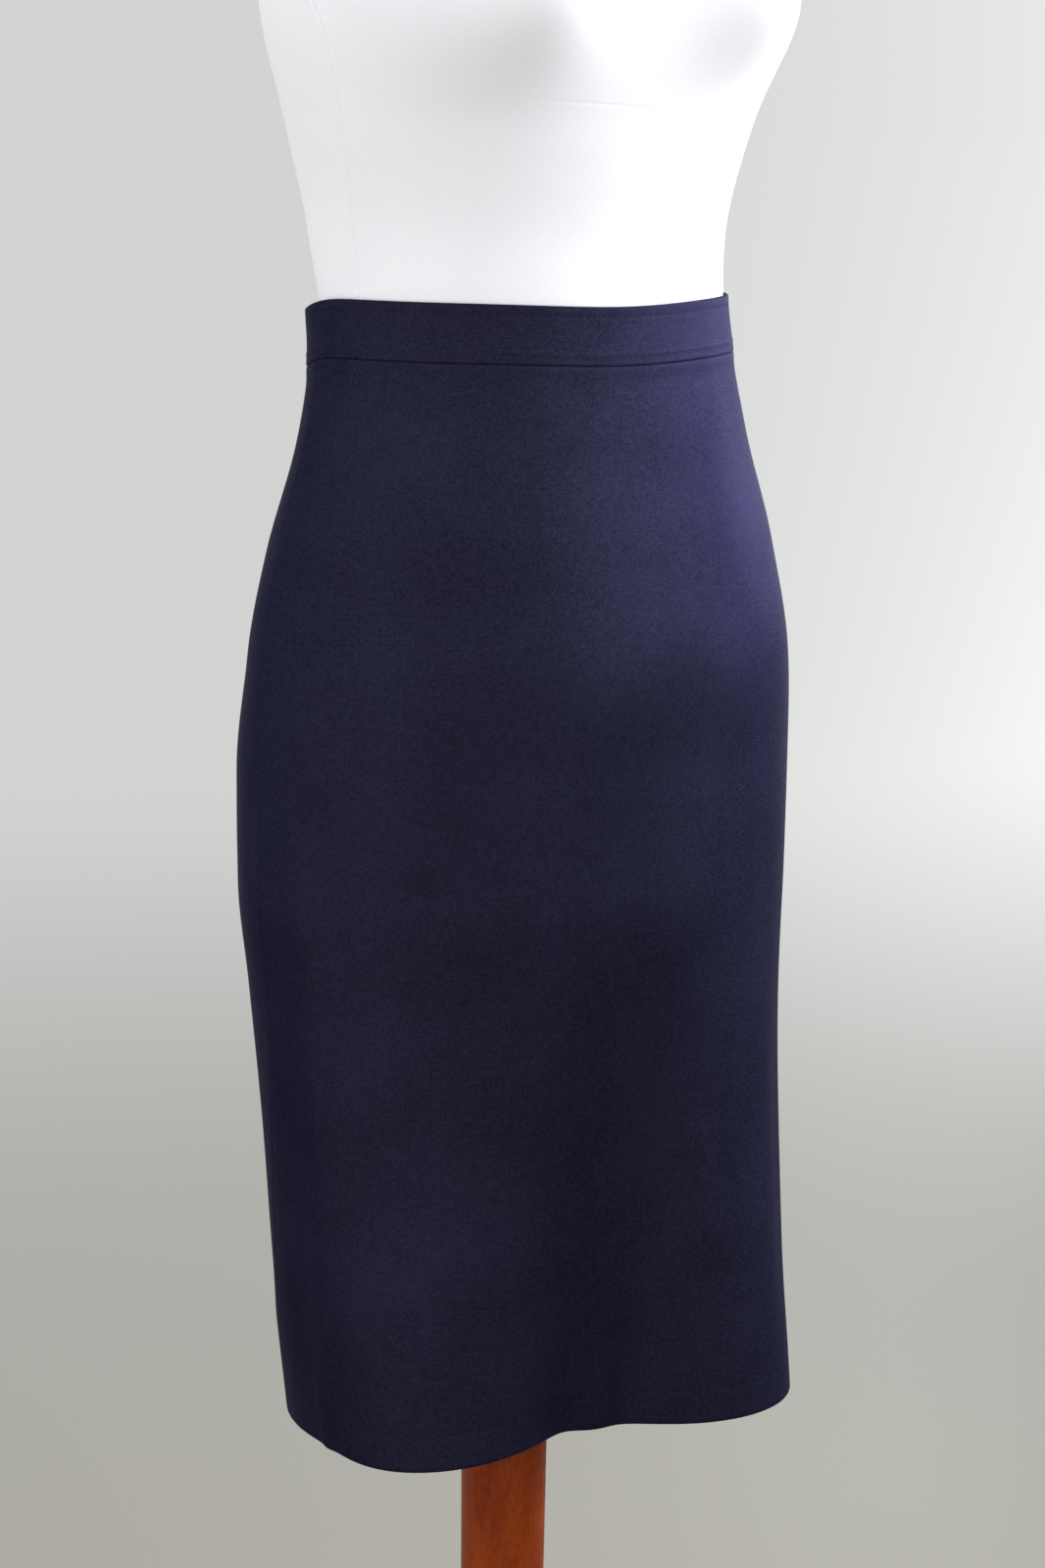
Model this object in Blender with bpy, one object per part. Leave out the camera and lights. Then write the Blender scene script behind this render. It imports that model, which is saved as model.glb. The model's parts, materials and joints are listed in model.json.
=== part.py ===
"""A knee-length pencil skirt of navy knit, pulled over a limbless dress form on a turned wooden pole.

Frame: metres, +Z up, origin on the floor under the pole. The wearer's front faces -Y and the wearer's left
is +X. An angle round the body is seen from above, in degrees: 0 is the wearer's left, 90 the front, 180 the
wearer's right and 270 the back. A height is that of a ring of the garment. The ring at the waist dips at the
front and the back, as a waistband does, and the dip fades out towards the hips and the bust.
"""

import functools
import math
from collections import namedtuple

import bpy

# Heights of the garment and of what carries it.
HEM_HEIGHT = 0.440
BAND_SEAM_HEIGHT = 1.0215
WAIST_HEIGHT = 1.052
FORM_FOOT_HEIGHT = 0.755
CHEST_TOP_HEIGHT = 1.375

# Cloth. The band is the same knit, doubled over its elastic. Touching pieces are a small gap apart: the cloth
# from the form that it grips, and one sewn piece from the next.
CLOTH_THICKNESS = 0.0016
BAND_THICKNESS = 0.0026
SEAT_GAP = 0.0004
SEAM_GAP = 0.0003

# The dip of the waist ring fades out over these heights below the band's seam and above the waist.
DIP_FADE_BELOW = 0.20
DIP_FADE_ABOVE = 0.12

# A bust mound starts on the side of the body and is whole from this share of the ring's half depth forward.
BUST_WHOLE_FROM = 0.6

# Degrees by which both side seams lie behind the side of the ring.
SeamPlace = namedtuple("SeamPlace", "height behind")
SIDE_SEAMS = (
    SeamPlace(0.440, 20.0),
    SeamPlace(0.500, 17.0),
    SeamPlace(0.590, 11.0),
    SeamPlace(0.690, 6.0),
    SeamPlace(0.780, 5.0),
    SeamPlace(0.850, 8.5),
    SeamPlace(1.052, 9.0),
)

# Wooden pole, thicker at its head, and its round foot.
POLE_HEAD_RADIUS = 0.0270
POLE_FOOT_RADIUS = 0.0205
BASE_RADIUS = 0.200
BASE_HEIGHT = 0.024
BASE_EDGE_RADIUS = 0.006

# The form's lower edge is rounded: how far each ring of the edge lies above the foot, and how far it is drawn in.
EdgeRing = namedtuple("EdgeRing", "rise drawn_in")
FORM_FOOT_EDGE = (
    EdgeRing(0.000, 0.014),
    EdgeRing(0.004, 0.005),
    EdgeRing(0.011, 0.001),
)

# Fineness of the meshes.
FRONT_COLUMNS = 33
BACK_COLUMNS = 31
SKIRT_ROWS = 23
BAND_ROWS = 2
CHEST_ROWS = 12
TURNED_SIDES = 48
EDGE_STEPS = 4
LEAST_RING_STEP = 0.009
DIRECTION_STEP_DEGREES = 0.5

# Linear colours and roughnesses.
Finish = namedtuple("Finish", "name colour roughness")
NAVY_KNIT = Finish("navy_knit", (0.027, 0.027, 0.058), 0.85)
WHITE_COVER = Finish("white_cover", (0.78, 0.76, 0.80), 0.80)
CHERRY_STAINED_WOOD = Finish("cherry_stained_wood", (0.19, 0.038, 0.010), 0.35)
SHARP_ANGLE_DEGREES = 35.0

# Sections of the body from the hem to the neck. Below the foot of the form they are the line on which the
# cloth hangs. Each is a rounded oval about a centre that moves to the wearer's left and to the front.
Section = namedtuple("Section", "height to_left to_front half_width half_depth squareness")
SECTIONS = (
    Section(0.440, 0.012, 0.0150, 0.1470, 0.1040, 2.2),
    Section(0.520, 0.007, 0.0110, 0.1500, 0.1070, 2.2),
    Section(0.600, 0.005, 0.0070, 0.1530, 0.1080, 2.2),
    Section(0.680, 0.002, 0.0040, 0.1570, 0.1110, 2.2),
    Section(0.740, 0.000, 0.0030, 0.1620, 0.1130, 2.2),
    Section(0.800, 0.000, 0.0030, 0.1630, 0.1130, 2.2),
    Section(0.860, 0.000, 0.0060, 0.1585, 0.1115, 2.2),
    Section(0.920, 0.000, 0.0055, 0.1480, 0.1045, 2.15),
    Section(0.980, 0.000, 0.0055, 0.1320, 0.0925, 2.1),
    Section(1.020, 0.000, 0.0045, 0.1240, 0.0865, 2.1),
    Section(1.052, 0.000, 0.0035, 0.1205, 0.0840, 2.1),
    Section(1.090, 0.000, -0.0005, 0.1245, 0.0875, 2.1),
    Section(1.140, 0.000, -0.0010, 0.1360, 0.0965, 2.15),
    Section(1.200, 0.000, -0.0015, 0.1500, 0.1065, 2.2),
    Section(1.260, 0.000, -0.0060, 0.1570, 0.1050, 2.2),
    Section(1.320, 0.000, -0.0080, 0.1650, 0.0930, 2.2),
    Section(1.360, 0.000, -0.0080, 0.1710, 0.0800, 2.2),
    Section(1.382, 0.000, -0.0075, 0.1680, 0.0720, 2.2),
    Section(1.397, 0.000, -0.0070, 0.1520, 0.0670, 2.1),
    Section(1.410, 0.000, -0.0060, 0.1260, 0.0630, 2.0),
    Section(1.424, 0.000, -0.0050, 0.0960, 0.0600, 2.0),
    Section(1.438, 0.000, -0.0040, 0.0720, 0.0580, 2.0),
    Section(1.454, 0.000, -0.0030, 0.0610, 0.0560, 2.0),
    Section(1.490, 0.000, -0.0010, 0.0570, 0.0540, 2.0),
)

# Bust: one mound each side of the front. It is fuller below its point than above it.
Mound = namedtuple("Mound", "side to_side height reach half_width rise fall")
BUST = (
    Mound("left", 0.085, 1.212, 0.028, 0.052, 0.075, 0.046),
    Mound("right", -0.085, 1.212, 0.028, 0.052, 0.075, 0.046),
)

# Where the cloth stands off the form: the small of the back, which the band bridges.
Ease = namedtuple("Ease", "name angle spread height half_height reach")
EASES = (
    Ease("small_of_back", 262.0, 44.0, 1.052, 0.055, 0.0105),
)

# Dips of the waist ring below its height at the sides. The higher the power, the flatter the bottom of the dip.
Dip = namedtuple("Dip", "name angle spread power depth")
WAIST_DIPS = (
    Dip("front", 92.0, 42.0, 2, 0.0030),
    Dip("back", 270.0, 52.0, 4, 0.0110),
)

# Soft folds of the free cloth below the form, measured at the hem and growing from the top height down.
Fold = namedtuple("Fold", "name angle_at_top angle_at_hem spread reach top")
FOLDS = (
    Fold("right_front_lobe", 164.0, 157.0, 17.0, 0.0220, 0.76),
    Fold("right_of_centre_hollow", 108.0, 122.0, 17.0, -0.0370, 0.74),
    Fold("centre_front_hollow", 84.0, 92.0, 20.0, -0.0320, 0.74),
    Fold("left_front_lobe", 50.0, 46.0, 24.0, 0.0100, 0.76),
    Fold("back_hollow", 270.0, 262.0, 26.0, -0.0100, 0.74),
    Fold("back_left_lobe", 318.0, 315.0, 22.0, 0.0060, 0.76),
)
FOLD_GROWTH = 1.35


def smoothstep(share):
    share = min(max(share, 0.0), 1.0)
    return share * share * (3.0 - 2.0 * share)


def bell(distance, spread, power=2):
    return math.exp(-(abs(distance / spread) ** power))


def turn_between(angle, centre):
    """Signed degrees from centre to angle, the short way round."""
    return (angle - centre + 180.0) % 360.0 - 180.0


def slopes_of(heights, values):
    """Slope of a curve at each row of a table, held back so that it never overshoots its rows."""
    steps = [
        (after - before) / (high - low)
        for before, after, low, high in zip(values, values[1:], heights, heights[1:])
    ]
    slopes = [steps[0]]
    for below, above in zip(steps, steps[1:]):
        slopes.append(0.0 if below * above <= 0.0 else 2.0 * below * above / (below + above))
    return slopes + [steps[-1]]


def row_at(table, height):
    """The row of a table at any height, on a smooth curve through its rows."""
    heights = [row.height for row in table]
    height = min(max(height, heights[0]), heights[-1])
    index = max(i for i, level in enumerate(heights[:-1]) if level <= height)
    low, high = table[index], table[index + 1]
    span = high.height - low.height
    t = (height - low.height) / span
    values = [height]
    for column in low._fields[1:]:
        slopes = slopes_of(heights, [getattr(row, column) for row in table])
        values.append(
            getattr(low, column) * (1 + 2 * t) * (1 - t) ** 2
            + getattr(high, column) * t * t * (3 - 2 * t)
            + span * t * (1 - t) * (slopes[index] * (1 - t) - slopes[index + 1] * t)
        )
    return type(low)(*values)


@functools.lru_cache(maxsize=None)
def section_at(height):
    return row_at(SECTIONS, height)


def oval_radius(section, angle):
    """Distance from the centre of a section to its edge. Squareness 2 is an ellipse."""
    across = abs(math.cos(math.radians(angle))) / section.half_width
    along = abs(math.sin(math.radians(angle))) / section.half_depth
    power = section.squareness
    return (across**power + along**power) ** (-1.0 / power)


def bust_reach(to_left, height):
    reach = 0.0
    for mound in BUST:
        drop = mound.rise if height > mound.height else mound.fall
        reach += (
            mound.reach
            * bell(to_left - mound.to_side, mound.half_width)
            * bell(height - mound.height, drop)
        )
    return reach


def fold_reach(angle, height):
    reach = 0.0
    for fold in FOLDS:
        grown = (fold.top - height) / (fold.top - HEM_HEIGHT)
        if grown <= 0.0:
            continue
        centre = fold.angle_at_top + (fold.angle_at_hem - fold.angle_at_top) * grown
        reach += fold.reach * grown**FOLD_GROWTH * bell(turn_between(angle, centre), fold.spread)
    return reach


def ring(angle, height):
    """(to the wearer's left, to the front) of the body's ring, with its bust and, below the form, its folds."""
    section = section_at(height)
    radius = oval_radius(section, angle) + fold_reach(angle, height)
    to_left = section.to_left + radius * math.cos(math.radians(angle))
    to_front = section.to_front + radius * math.sin(math.radians(angle))
    if to_front > 0.0:
        to_front += bust_reach(to_left, height) * smoothstep(to_front / (BUST_WHOLE_FROM * section.half_depth))
    return to_left, to_front


def outward(angle, height):
    """Unit direction out of the ring, in plan."""
    back = ring(angle - DIRECTION_STEP_DEGREES, height)
    ahead = ring(angle + DIRECTION_STEP_DEGREES, height)
    along_left, along_front = ahead[0] - back[0], ahead[1] - back[1]
    length = math.hypot(along_left, along_front)
    return along_front / length, -along_left / length


def level(angle, height):
    """Height above the floor of a ring at this angle."""
    near_waist = smoothstep(1.0 - (BAND_SEAM_HEIGHT - height) / DIP_FADE_BELOW)
    near_waist *= smoothstep(1.0 - (height - WAIST_HEIGHT) / DIP_FADE_ABOVE)
    dip = sum(row.depth * bell(turn_between(angle, row.angle), row.spread, row.power) for row in WAIST_DIPS)
    return height - dip * near_waist


def body_point(angle, height, distance=0.0):
    """Point at a distance outside the body's ring."""
    to_left, to_front = ring(angle, height)
    normal = outward(angle, height)
    return (
        to_left + normal[0] * distance,
        -(to_front + normal[1] * distance),
        level(angle, height),
    )


def ease(angle, height):
    return sum(
        row.reach * bell(turn_between(angle, row.angle), row.spread) * bell(height - row.height, row.half_height)
        for row in EASES
    )


def cloth_point(angle, height, thickness):
    """Point of the cloth's inner face, or of a face that lies a thickness outside it."""
    return body_point(angle, height, SEAT_GAP + ease(angle, height) + thickness)


def seam_angles(height):
    """Angles of the left and the right side seam."""
    behind = row_at(SIDE_SEAMS, height).behind
    return -behind, 180.0 + behind


def column_angles(start, end, count):
    return [start + (end - start) * i / count for i in range(count + 1)]


def panel_angles(side, height):
    """Angles of a panel's columns, from one side seam to the other, short of each by half the seam's gap."""
    left, right = seam_angles(height)
    start, end, count = {
        "front": (left, right, FRONT_COLUMNS),
        "back": (right, left + 360.0, BACK_COLUMNS),
    }[side]
    angles = column_angles(start, end, count)
    half_gap = math.degrees(0.5 * SEAM_GAP / section_at(height).half_width)
    return [angles[0] + half_gap] + angles[1:-1] + [angles[-1] - half_gap]


def even_heights(low, high, count):
    return [low + (high - low) * i / count for i in range(count + 1)]


SKIRT_TOP_HEIGHT = BAND_SEAM_HEIGHT - SEAM_GAP
SKIRT_HEIGHTS = even_heights(HEM_HEIGHT, SKIRT_TOP_HEIGHT, SKIRT_ROWS)
BAND_HEIGHTS = even_heights(BAND_SEAM_HEIGHT, WAIST_HEIGHT, BAND_ROWS)


def material(name, finish):
    """A plain Principled material."""
    made = bpy.data.materials.new(name)
    made.use_nodes = True
    shader = made.node_tree.nodes["Principled BSDF"]
    shader.inputs["Base Color"].default_value = (*finish.colour, 1.0)
    shader.inputs["Roughness"].default_value = finish.roughness
    shader.inputs["Metallic"].default_value = 0.0
    return made


def add_object(name, points, faces, finish):
    """One closed body. Every face starts at the same corner of its cell, so that neighbouring walls split alike."""
    mesh = bpy.data.meshes.new(name)
    mesh.from_pydata(points, [], faces)
    mesh.validate()
    mesh.materials.append(material(f"{name}_{finish.name}", finish))
    mesh.shade_smooth()
    mesh.set_sharp_from_angle(angle=math.radians(SHARP_ANGLE_DEGREES))
    made = bpy.data.objects.new(name, mesh)
    bpy.context.scene.collection.objects.link(made)
    split = made.modifiers.new("even_split", "TRIANGULATE")
    split.quad_method = "FIXED"
    return made


def wall(name, outer, inner, finish):
    """A sheet with two faces and four edges, from two grids of points. Rows run up, and columns from the
    wearer's left to the front."""
    rows, columns = len(outer), len(outer[0])
    points = [point for grid in (outer, inner) for row in grid for point in row]

    def at(face, row, column):
        return face * rows * columns + row * columns + column

    faces = []
    for r in range(rows - 1):
        for c in range(columns - 1):
            faces.append([at(0, r, c), at(0, r + 1, c), at(0, r + 1, c + 1), at(0, r, c + 1)])
            faces.append([at(1, r, c), at(1, r, c + 1), at(1, r + 1, c + 1), at(1, r + 1, c)])
    top, last = rows - 1, columns - 1
    for c in range(last):
        faces.append([at(0, 0, c), at(0, 0, c + 1), at(1, 0, c + 1), at(1, 0, c)])
        faces.append([at(0, top, c), at(1, top, c), at(1, top, c + 1), at(0, top, c + 1)])
    for r in range(top):
        faces.append([at(0, r, 0), at(1, r, 0), at(1, r + 1, 0), at(0, r + 1, 0)])
        faces.append([at(0, r, last), at(0, r + 1, last), at(1, r + 1, last), at(1, r, last)])
    return add_object(name, points, faces, finish)


def rings_to_solid(name, rings, finish):
    """A solid skinned over closed rings, from the bottom up, with a flat face at each end. A ring runs from
    the wearer's left to the front."""
    count = len(rings[0])
    points = [point for one in rings for point in one]
    top = (len(rings) - 1) * count
    faces = [list(range(count)), list(range(top, top + count))[::-1]]
    for low in range(0, top, count):
        for i in range(count):
            j = (i + 1) % count
            faces.append([low + i, low + count + i, low + count + j, low + j])
    return add_object(name, points, faces, finish)


def skirt_panel(side, finish):
    outer = []
    inner = []
    for height in SKIRT_HEIGHTS:
        angles = panel_angles(side, height)
        outer.append([cloth_point(angle, height, CLOTH_THICKNESS) for angle in angles])
        inner.append([cloth_point(angle, height, 0.0) for angle in angles])
    return wall("skirt_" + side, outer, inner, finish)


def waistband(finish):
    """One strip round the waist, from the join at the centre back, round by the wearer's left, and back to it."""
    half_gap = math.degrees(0.5 * SEAM_GAP / section_at(WAIST_HEIGHT).half_depth)
    angles = [a for side in ("back", "front") for a in panel_angles(side, WAIST_HEIGHT)[:-1]]
    join = angles[BACK_COLUMNS // 2]
    strip = [join + half_gap] + angles[BACK_COLUMNS // 2 + 1 :] + angles[: BACK_COLUMNS // 2]
    strip.append(join - half_gap)
    outer = [[cloth_point(angle, height, BAND_THICKNESS) for angle in strip] for height in BAND_HEIGHTS]
    inner = [[cloth_point(angle, height, 0.0) for angle in strip] for height in BAND_HEIGHTS]
    return wall("waistband", outer, inner, finish)


def form_torso(finish):
    """The limbless form. Under the skirt its rings lie at the heights and columns of the skirt's own."""
    foot = [(FORM_FOOT_HEIGHT + edge.rise, -edge.drawn_in) for edge in FORM_FOOT_EDGE]
    under_skirt = [height for height in SKIRT_HEIGHTS if height > foot[-1][0] + LEAST_RING_STEP]
    chest = even_heights(WAIST_HEIGHT, CHEST_TOP_HEIGHT, CHEST_ROWS)
    shoulders = [row.height for row in SECTIONS if row.height > CHEST_TOP_HEIGHT]
    rings = []
    for height, distance in foot + [(h, 0.0) for h in under_skirt + BAND_HEIGHTS[1:-1] + chest + shoulders]:
        angles = panel_angles("front", height)[:-1] + panel_angles("back", height)[:-1]
        rings.append([body_point(angle, height, distance) for angle in angles])
    return rings_to_solid("form_torso", rings, finish)


def turned(name, profile, finish):
    """A solid of revolution on the pole's axis from (radius, height) pairs, bottom first."""
    steps = [2.0 * math.pi * i / TURNED_SIDES for i in range(TURNED_SIDES)]
    rings = [[(radius * math.cos(s), -radius * math.sin(s), height) for s in steps] for radius, height in profile]
    return rings_to_solid(name, rings, finish)


def form_pole(finish):
    foot = (POLE_FOOT_RADIUS, BASE_HEIGHT + SEAM_GAP)
    head = (POLE_HEAD_RADIUS, FORM_FOOT_HEIGHT - SEAM_GAP)
    return turned("form_pole", (foot, head), finish)


def form_base(finish):
    """A plain disc with a rounded upper edge."""
    edge_centre = (BASE_RADIUS - BASE_EDGE_RADIUS, BASE_HEIGHT - BASE_EDGE_RADIUS)
    profile = [(BASE_RADIUS, 0.0)]
    for step in range(EDGE_STEPS + 1):
        turn = 0.5 * math.pi * step / EDGE_STEPS
        profile.append(
            (
                edge_centre[0] + BASE_EDGE_RADIUS * math.cos(turn),
                edge_centre[1] + BASE_EDGE_RADIUS * math.sin(turn),
            )
        )
    return turned("form_base", profile, finish)


def main():
    for old in list(bpy.data.objects):
        bpy.data.objects.remove(old)
    skirt_panel("front", NAVY_KNIT)
    skirt_panel("back", NAVY_KNIT)
    waistband(NAVY_KNIT)
    form_torso(WHITE_COVER)
    form_pole(CHERRY_STAINED_WOOD)
    form_base(CHERRY_STAINED_WOOD)


main()
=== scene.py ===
"""Looks of the pencil skirt on its dress form: navy double knit, seams, hem and soft folds, a white stretch
cover and cherry-stained wood.

Frame: metres, +Z up, origin on the floor under the pole. The wearer's front faces -Y and the wearer's left
is +X. An angle round the body is seen from above, in degrees: 0 is the wearer's left, 90 the front, 180 the
wearer's right and 270 the back. A height is that of a ring of the garment. The ring at the waist dips at the
front and the back, as a waistband does, and the dip fades out towards the hips and the bust.
"""

import functools
import json
import math
from collections import namedtuple

import bmesh
import bpy
import numpy as np
from mathutils import Matrix, Vector, noise

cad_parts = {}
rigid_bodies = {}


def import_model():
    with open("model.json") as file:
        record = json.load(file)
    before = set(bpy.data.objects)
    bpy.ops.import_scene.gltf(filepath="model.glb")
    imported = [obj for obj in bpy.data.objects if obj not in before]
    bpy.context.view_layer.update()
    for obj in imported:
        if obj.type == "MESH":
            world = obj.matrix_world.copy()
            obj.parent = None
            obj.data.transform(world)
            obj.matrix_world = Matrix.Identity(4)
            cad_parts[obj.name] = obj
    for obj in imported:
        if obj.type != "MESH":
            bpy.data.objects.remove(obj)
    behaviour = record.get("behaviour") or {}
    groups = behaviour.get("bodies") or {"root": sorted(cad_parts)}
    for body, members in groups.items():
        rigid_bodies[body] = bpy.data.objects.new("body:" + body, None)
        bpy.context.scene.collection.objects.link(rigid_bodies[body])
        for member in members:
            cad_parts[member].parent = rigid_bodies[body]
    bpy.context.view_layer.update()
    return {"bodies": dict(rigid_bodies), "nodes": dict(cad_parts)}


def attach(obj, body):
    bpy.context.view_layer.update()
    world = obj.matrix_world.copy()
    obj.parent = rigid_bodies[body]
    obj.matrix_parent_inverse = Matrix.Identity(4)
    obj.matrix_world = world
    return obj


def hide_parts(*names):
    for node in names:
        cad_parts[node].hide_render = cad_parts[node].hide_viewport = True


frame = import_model()
nodes = frame["nodes"]
body = next(iter(frame["bodies"]))

# ---------------------------------------------------------------------------------------------------------
# The garment and the form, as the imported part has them
# ---------------------------------------------------------------------------------------------------------

HEM_HEIGHT = 0.440
BAND_SEAM_HEIGHT = 1.0215
WAIST_HEIGHT = 1.052
FORM_FOOT_HEIGHT = 0.755
CHEST_TOP_HEIGHT = 1.375
CLOTH_THICKNESS = 0.0016
BAND_THICKNESS = 0.0026
SEAT_GAP = 0.0004
SEWN_GAP = 0.00006
DIP_FADE_BELOW = 0.20
DIP_FADE_ABOVE = 0.12
BUST_WHOLE_FROM = 0.6
DIRECTION_STEP_DEGREES = 0.5
SKIRT_TOP_HEIGHT = BAND_SEAM_HEIGHT - SEWN_GAP

SeamPlace = namedtuple("SeamPlace", "height behind")
SIDE_SEAMS = (
    SeamPlace(0.440, 20.0),
    SeamPlace(0.500, 17.0),
    SeamPlace(0.590, 11.0),
    SeamPlace(0.690, 6.0),
    SeamPlace(0.780, 5.0),
    SeamPlace(0.850, 8.5),
    SeamPlace(1.052, 9.0),
)

Section = namedtuple("Section", "height to_left to_front half_width half_depth squareness")
SECTIONS = (
    Section(0.440, 0.012, 0.0150, 0.1470, 0.1040, 2.2),
    Section(0.520, 0.007, 0.0110, 0.1500, 0.1070, 2.2),
    Section(0.600, 0.005, 0.0070, 0.1530, 0.1080, 2.2),
    Section(0.680, 0.002, 0.0040, 0.1570, 0.1110, 2.2),
    Section(0.740, 0.000, 0.0030, 0.1620, 0.1130, 2.2),
    Section(0.800, 0.000, 0.0030, 0.1630, 0.1130, 2.2),
    Section(0.860, 0.000, 0.0060, 0.1585, 0.1115, 2.2),
    Section(0.920, 0.000, 0.0055, 0.1480, 0.1045, 2.15),
    Section(0.980, 0.000, 0.0055, 0.1320, 0.0925, 2.1),
    Section(1.020, 0.000, 0.0045, 0.1240, 0.0865, 2.1),
    Section(1.052, 0.000, 0.0035, 0.1205, 0.0840, 2.1),
    Section(1.090, 0.000, -0.0005, 0.1245, 0.0875, 2.1),
    Section(1.140, 0.000, -0.0010, 0.1360, 0.0965, 2.15),
    Section(1.200, 0.000, -0.0015, 0.1500, 0.1065, 2.2),
    Section(1.260, 0.000, -0.0060, 0.1570, 0.1050, 2.2),
    Section(1.320, 0.000, -0.0080, 0.1650, 0.0930, 2.2),
    Section(1.360, 0.000, -0.0080, 0.1710, 0.0800, 2.2),
    Section(1.382, 0.000, -0.0075, 0.1680, 0.0720, 2.2),
    Section(1.397, 0.000, -0.0070, 0.1520, 0.0670, 2.1),
    Section(1.410, 0.000, -0.0060, 0.1260, 0.0630, 2.0),
    Section(1.424, 0.000, -0.0050, 0.0960, 0.0600, 2.0),
    Section(1.438, 0.000, -0.0040, 0.0720, 0.0580, 2.0),
    Section(1.454, 0.000, -0.0030, 0.0610, 0.0560, 2.0),
    Section(1.490, 0.000, -0.0010, 0.0570, 0.0540, 2.0),
)

Mound = namedtuple("Mound", "side to_side height reach half_width rise fall")
BUST = (
    Mound("left", 0.085, 1.212, 0.028, 0.052, 0.075, 0.046),
    Mound("right", -0.085, 1.212, 0.028, 0.052, 0.075, 0.046),
)

Ease = namedtuple("Ease", "name angle spread height half_height reach")
EASES = (
    Ease("small_of_back", 262.0, 44.0, 1.052, 0.055, 0.0105),
    Ease("right_of_waist", 200.0, 16.0, 1.052, 0.018, 0.0030),
)

Dip = namedtuple("Dip", "name angle spread power depth")
WAIST_DIPS = (
    Dip("front", 92.0, 42.0, 2, 0.0030),
    Dip("back", 270.0, 52.0, 4, 0.0110),
    Dip("right_back", 203.0, 13.0, 2, 0.0070),
)

Fold = namedtuple("Fold", "name angle_at_top angle_at_hem spread reach top")
FOLDS = (
    Fold("right_front_lobe", 164.0, 157.0, 17.0, 0.0220, 0.76),
    Fold("right_of_centre_hollow", 108.0, 122.0, 17.0, -0.0370, 0.74),
    Fold("centre_front_hollow", 84.0, 92.0, 20.0, -0.0320, 0.74),
    Fold("left_front_lobe", 50.0, 46.0, 24.0, 0.0100, 0.76),
    Fold("back_hollow", 270.0, 262.0, 26.0, -0.0100, 0.74),
    Fold("back_left_lobe", 318.0, 315.0, 22.0, 0.0060, 0.76),
)
FOLD_GROWTH = 1.35


def smoothstep(share):
    share = np.clip(share, 0.0, 1.0)
    return share * share * (3.0 - 2.0 * share)


def bell(distance, spread, power=2):
    return np.exp(-(np.abs(distance / spread) ** power))


def turn_between(angle, centre):
    """Signed degrees from centre to angle, the short way round."""
    return (angle - centre + 180.0) % 360.0 - 180.0


def slopes_of(heights, values):
    """Slope of a curve at each row of a table, held back so that it never overshoots its rows."""
    steps = [
        (after - before) / (high - low)
        for before, after, low, high in zip(values, values[1:], heights, heights[1:])
    ]
    slopes = [steps[0]]
    for below, above in zip(steps, steps[1:]):
        slopes.append(0.0 if below * above <= 0.0 else 2.0 * below * above / (below + above))
    return slopes + [steps[-1]]


def row_at(table, height):
    """The row of a table at any height, on a smooth curve through its rows."""
    heights = [row.height for row in table]
    height = min(max(height, heights[0]), heights[-1])
    index = max(i for i, level in enumerate(heights[:-1]) if level <= height)
    low, high = table[index], table[index + 1]
    span = high.height - low.height
    t = (height - low.height) / span
    values = [height]
    for column in low._fields[1:]:
        slopes = slopes_of(heights, [getattr(row, column) for row in table])
        values.append(
            getattr(low, column) * (1 + 2 * t) * (1 - t) ** 2
            + getattr(high, column) * t * t * (3 - 2 * t)
            + span * t * (1 - t) * (slopes[index] * (1 - t) - slopes[index + 1] * t)
        )
    return type(low)(*values)


@functools.lru_cache(maxsize=None)
def section_at(height):
    return row_at(SECTIONS, height)


def bust_reach(to_left, height):
    reach = 0.0
    for mound in BUST:
        drop = mound.rise if height > mound.height else mound.fall
        reach += (
            mound.reach
            * bell(to_left - mound.to_side, mound.half_width)
            * bell(height - mound.height, drop)
        )
    return reach


def fold_reach(angle, height):
    reach = 0.0
    for fold in FOLDS:
        grown = (fold.top - height) / (fold.top - HEM_HEIGHT)
        if grown <= 0.0:
            continue
        centre = fold.angle_at_top + (fold.angle_at_hem - fold.angle_at_top) * grown
        reach += fold.reach * grown**FOLD_GROWTH * bell(turn_between(angle, centre), fold.spread)
    return reach


def ring(angle, height):
    """(to the wearer's left, to the front) of the body's ring at each of some angles."""
    section = section_at(height)
    across = np.abs(np.cos(np.radians(angle))) / section.half_width
    along = np.abs(np.sin(np.radians(angle))) / section.half_depth
    radius = (across**section.squareness + along**section.squareness) ** (-1.0 / section.squareness)
    radius = radius + fold_reach(angle, height)
    to_left = section.to_left + radius * np.cos(np.radians(angle))
    to_front = section.to_front + radius * np.sin(np.radians(angle))
    whole = smoothstep(to_front / (BUST_WHOLE_FROM * section.half_depth))
    return to_left, to_front + bust_reach(to_left, height) * whole


def outward(angle, height):
    """Unit direction out of the ring, in plan."""
    back = ring(angle - DIRECTION_STEP_DEGREES, height)
    ahead = ring(angle + DIRECTION_STEP_DEGREES, height)
    along_left, along_front = ahead[0] - back[0], ahead[1] - back[1]
    length = np.hypot(along_left, along_front)
    return along_front / length, -along_left / length


def level(angle, height):
    """Height above the floor of a ring at this angle."""
    near_waist = smoothstep(1.0 - (BAND_SEAM_HEIGHT - height) / DIP_FADE_BELOW)
    near_waist *= smoothstep(1.0 - (height - WAIST_HEIGHT) / DIP_FADE_ABOVE)
    dip = sum(row.depth * bell(turn_between(angle, row.angle), row.spread, row.power) for row in WAIST_DIPS)
    return height - dip * near_waist


def body_points(angle, height, distance=0.0):
    """Points at a distance outside the body's ring, one for each angle."""
    to_left, to_front = ring(angle, height)
    normal = outward(angle, height)
    return np.stack(
        [to_left + normal[0] * distance, -(to_front + normal[1] * distance), level(angle, height)], axis=-1
    )


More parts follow.
